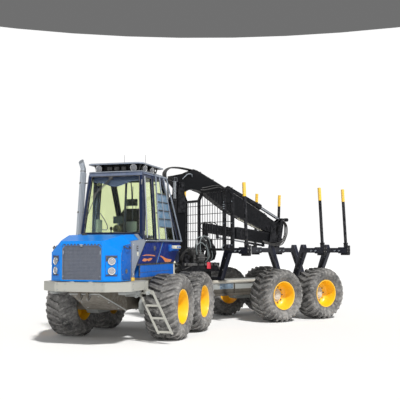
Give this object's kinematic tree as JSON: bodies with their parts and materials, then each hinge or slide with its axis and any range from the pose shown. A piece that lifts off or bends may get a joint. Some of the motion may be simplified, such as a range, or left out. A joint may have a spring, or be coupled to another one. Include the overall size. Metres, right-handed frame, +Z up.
{
  "type": "forestry forwarder",
  "caption": "Articulated wheeled timber forwarder with a cab ahead, a folded loading crane and grapple behind a wire headboard, and staked bunks over its load space.",
  "frame": {"origin": "middle of the bounding box, on the ground that its wheels stand on", "axes": "+X is forward along the rear unit, +Y its left and +Z up; the front unit is steered 36.56 degrees to the left"},
  "size_m": [8.958, 4.6191, 3.822],
  "materials": {
    "tyre": "dusty moulded rubber",
    "rim": "yellow enamel, dusty",
    "frame_grey": "light grey enamel",
    "panel_grey": "silver grey enamel",
    "hood_blue": "bright blue gloss enamel",
    "cab_blue": "dark blue gloss enamel",
    "crane_black": "satin black enamel",
    "bare_tube": "bare steel tube",
    "bare_cast": "bare casting",
    "chrome_rod": "polished rod",
    "window_glass": "clear with a green tint",
    "lamp_glass": "clear lamp lens",
    "seat_cloth": "dark cloth",
    "trim_plastic": "dark moulded plastic"
  },
  "bodies": {
    "rear_frame": {"rear_frame": "frame_grey", "axle_rear": "frame_grey", "bunks": "crane_black", "stakes": "crane_black", "headboard": "crane_black", "headboard_mesh": "crane_black", "crane_base": "crane_black", "crane_column": "crane_black", "crane_valves": "trim_plastic"},
    "yoke": {"articulation_yoke": "crane_black"},
    "front_frame": {"front_frame": "frame_grey", "front_deck": "frame_grey", "axle_front": "frame_grey", "bumper": "frame_grey", "engine": "crane_black", "exhaust": "bare_tube", "cab_shell": "cab_blue", "cab_glass": "window_glass", "roof_visor": "crane_black", "roof_lamps": "lamp_glass", "window_guard": "bare_tube", "operator_seat": "seat_cloth", "cab_console": "trim_plastic", "pillar_panels": "panel_grey", "side_boxes": "hood_blue"},
    "door": {"cab_door": "cab_blue", "door_glass": "window_glass"},
    "hood": {"hood": "hood_blue", "grille": "crane_black", "headlamps": "lamp_glass"},
    "ladder": {"ladder": "frame_grey"},
    "boom": {"inner_boom": "crane_black", "fold_cylinder": "crane_black", "outer_boom": "crane_black"},
    "lift_barrel": {"lift_barrels": "crane_black"},
    "lift_rod": {"lift_rods": "chrome_rod"},
    "rotator": {"rotator": "bare_cast"},
    "jaw_left": {"grapple_jaw_left": "crane_black"},
    "jaw_right": {"grapple_jaw_right": "crane_black"},
    "bogie_front_left": {"bogie_front_left": "frame_grey"},
    "bogie_front_right": {"bogie_front_right": "frame_grey"},
    "bogie_rear_left": {"bogie_rear_left": "frame_grey"},
    "bogie_rear_right": {"bogie_rear_right": "frame_grey"},
    "wheel_front_fore_left": {"tyre_front_fore_left": "tyre", "rim_front_fore_left": "rim"},
    "wheel_front_fore_right": {"tyre_front_fore_right": "tyre", "rim_front_fore_right": "rim"},
    "wheel_front_aft_left": {"tyre_front_aft_left": "tyre", "rim_front_aft_left": "rim"},
    "wheel_front_aft_right": {"tyre_front_aft_right": "tyre", "rim_front_aft_right": "rim"},
    "wheel_rear_fore_left": {"tyre_rear_fore_left": "tyre", "rim_rear_fore_left": "rim"},
    "wheel_rear_fore_right": {"tyre_rear_fore_right": "tyre", "rim_rear_fore_right": "rim"},
    "wheel_rear_aft_left": {"tyre_rear_aft_left": "tyre", "rim_rear_aft_left": "rim"},
    "wheel_rear_aft_right": {"tyre_rear_aft_right": "tyre", "rim_rear_aft_right": "rim"}
  },
  "joints": [
    {"name": "frame_roll", "type": "hinge", "parent": "rear_frame", "child": "yoke", "pos_m": [0.64, -0.88, 0.87], "axis": [1, 0, 0], "range_deg": [-15, 15]},
    {"name": "frame_steer", "type": "hinge", "parent": "yoke", "child": "front_frame", "pos_m": [0.64, -0.88, 0.87], "axis": [0, 0, 1], "range_deg": [-80.56, 7.44]},
    {"name": "bogie_front_left", "type": "hinge", "parent": "front_frame", "child": "bogie_front_left", "pos_m": [1.70834, 0.65924, 0.665], "axis": [-0.5957, 0.8032, 0], "range_deg": [-14, 14]},
    {"name": "bogie_front_right", "type": "hinge", "parent": "front_frame", "child": "bogie_front_right", "pos_m": [2.42314, -0.30464, 0.665], "axis": [-0.5957, 0.8032, 0], "range_deg": [-14, 14]},
    {"name": "bogie_rear_left", "type": "hinge", "parent": "rear_frame", "child": "bogie_rear_left", "pos_m": [-2.84, -0.28, 0.665], "axis": [0, 1, 0], "range_deg": [-14, 14]},
    {"name": "bogie_rear_right", "type": "hinge", "parent": "rear_frame", "child": "bogie_rear_right", "pos_m": [-2.84, -1.48, 0.665], "axis": [0, 1, 0], "range_deg": [-14, 14]},
    {"name": "wheel_front_fore_left", "type": "hinge", "parent": "bogie_front_left", "child": "wheel_front_fore_left", "pos_m": [2.01591, 1.50359, 0.665], "axis": [-0.5957, 0.8032, 0], "continuous": true},
    {"name": "wheel_front_fore_right", "type": "hinge", "parent": "bogie_front_right", "child": "wheel_front_fore_right", "pos_m": [3.32042, -0.25549, 0.665], "axis": [-0.5957, 0.8032, 0], "continuous": true},
    {"name": "wheel_front_aft_left", "type": "hinge", "parent": "bogie_front_left", "child": "wheel_front_aft_left", "pos_m": [0.81106, 0.6101, 0.665], "axis": [-0.5957, 0.8032, 0], "continuous": true},
    {"name": "wheel_front_aft_right", "type": "hinge", "parent": "bogie_front_right", "child": "wheel_front_aft_right", "pos_m": [2.11557, -1.14898, 0.665], "axis": [-0.5957, 0.8032, 0], "continuous": true},
    {"name": "wheel_rear_fore_left", "type": "hinge", "parent": "bogie_rear_left", "child": "wheel_rear_fore_left", "pos_m": [-2.09, 0.215, 0.665], "axis": [0, 1, 0], "continuous": true},
    {"name": "wheel_rear_fore_right", "type": "hinge", "parent": "bogie_rear_right", "child": "wheel_rear_fore_right", "pos_m": [-2.09, -1.975, 0.665], "axis": [0, 1, 0], "continuous": true},
    {"name": "wheel_rear_aft_left", "type": "hinge", "parent": "bogie_rear_left", "child": "wheel_rear_aft_left", "pos_m": [-3.59, 0.215, 0.665], "axis": [0, 1, 0], "continuous": true},
    {"name": "wheel_rear_aft_right", "type": "hinge", "parent": "bogie_rear_right", "child": "wheel_rear_aft_right", "pos_m": [-3.59, -1.975, 0.665], "axis": [0, 1, 0], "continuous": true},
    {"name": "hood_tilt", "type": "hinge", "parent": "front_frame", "child": "hood", "pos_m": [4.12603, 1.70518, 1.24], "axis": [-0.5957, 0.8032, 0], "range_deg": [0, 50]},
    {"name": "door_swing", "type": "hinge", "parent": "front_frame", "child": "door", "pos_m": [2.05975, 1.06675, 2], "axis": [0.0395, -0.0532, 0.9978], "range_deg": [0, 80]},
    {"name": "ladder_swing", "type": "hinge", "parent": "front_frame", "child": "ladder", "pos_m": [2.73891, 1.87169, 1], "axis": [0.8032, 0.5957, 0], "range_deg": [0, 100]},
    {"name": "crane_lift", "type": "hinge", "parent": "rear_frame", "child": "boom", "pos_m": [0.19, -0.88, 3.42], "axis": [0, 1, 0], "range_deg": [0, 75]},
    {"name": "lift_barrel_pivot", "type": "hinge", "parent": "rear_frame", "child": "lift_barrel", "pos_m": [0.405, -0.88, 1.7], "axis": [0, 1, 0], "range_deg": [-2, 0.1]},
    {"name": "lift_rod_slide", "type": "slide", "parent": "lift_barrel", "child": "lift_rod", "axis": [0, 0, 1], "range_m": [-0.345, 0.001]},
    {"name": "grapple_hang", "type": "hinge", "parent": "boom", "child": "rotator", "pos_m": [-0.65, -0.88, 2.2], "axis": [0, 1, 0], "range_deg": [-75.5, 0.5]},
    {"name": "grapple_open", "type": "hinge", "parent": "rotator", "child": "jaw_left", "pos_m": [-0.65, -0.805, 1.985], "axis": [1, 0, 0], "range_deg": [0, 60]},
    {"name": "grapple_open_right", "type": "hinge", "parent": "rotator", "child": "jaw_right", "pos_m": [-0.65, -0.955, 1.985], "axis": [1, 0, 0], "range_deg": [-60.5, 0.5]}
  ],
  "couplings": [
    {"joint": "lift_barrel_pivot", "follows": "crane_lift", "ratio": -0.0213},
    {"joint": "lift_rod_slide", "follows": "crane_lift", "m_per_rad": -0.22918},
    {"joint": "grapple_hang", "follows": "crane_lift", "ratio": -1},
    {"joint": "grapple_open_right", "follows": "grapple_open", "ratio": -1}
  ]
}
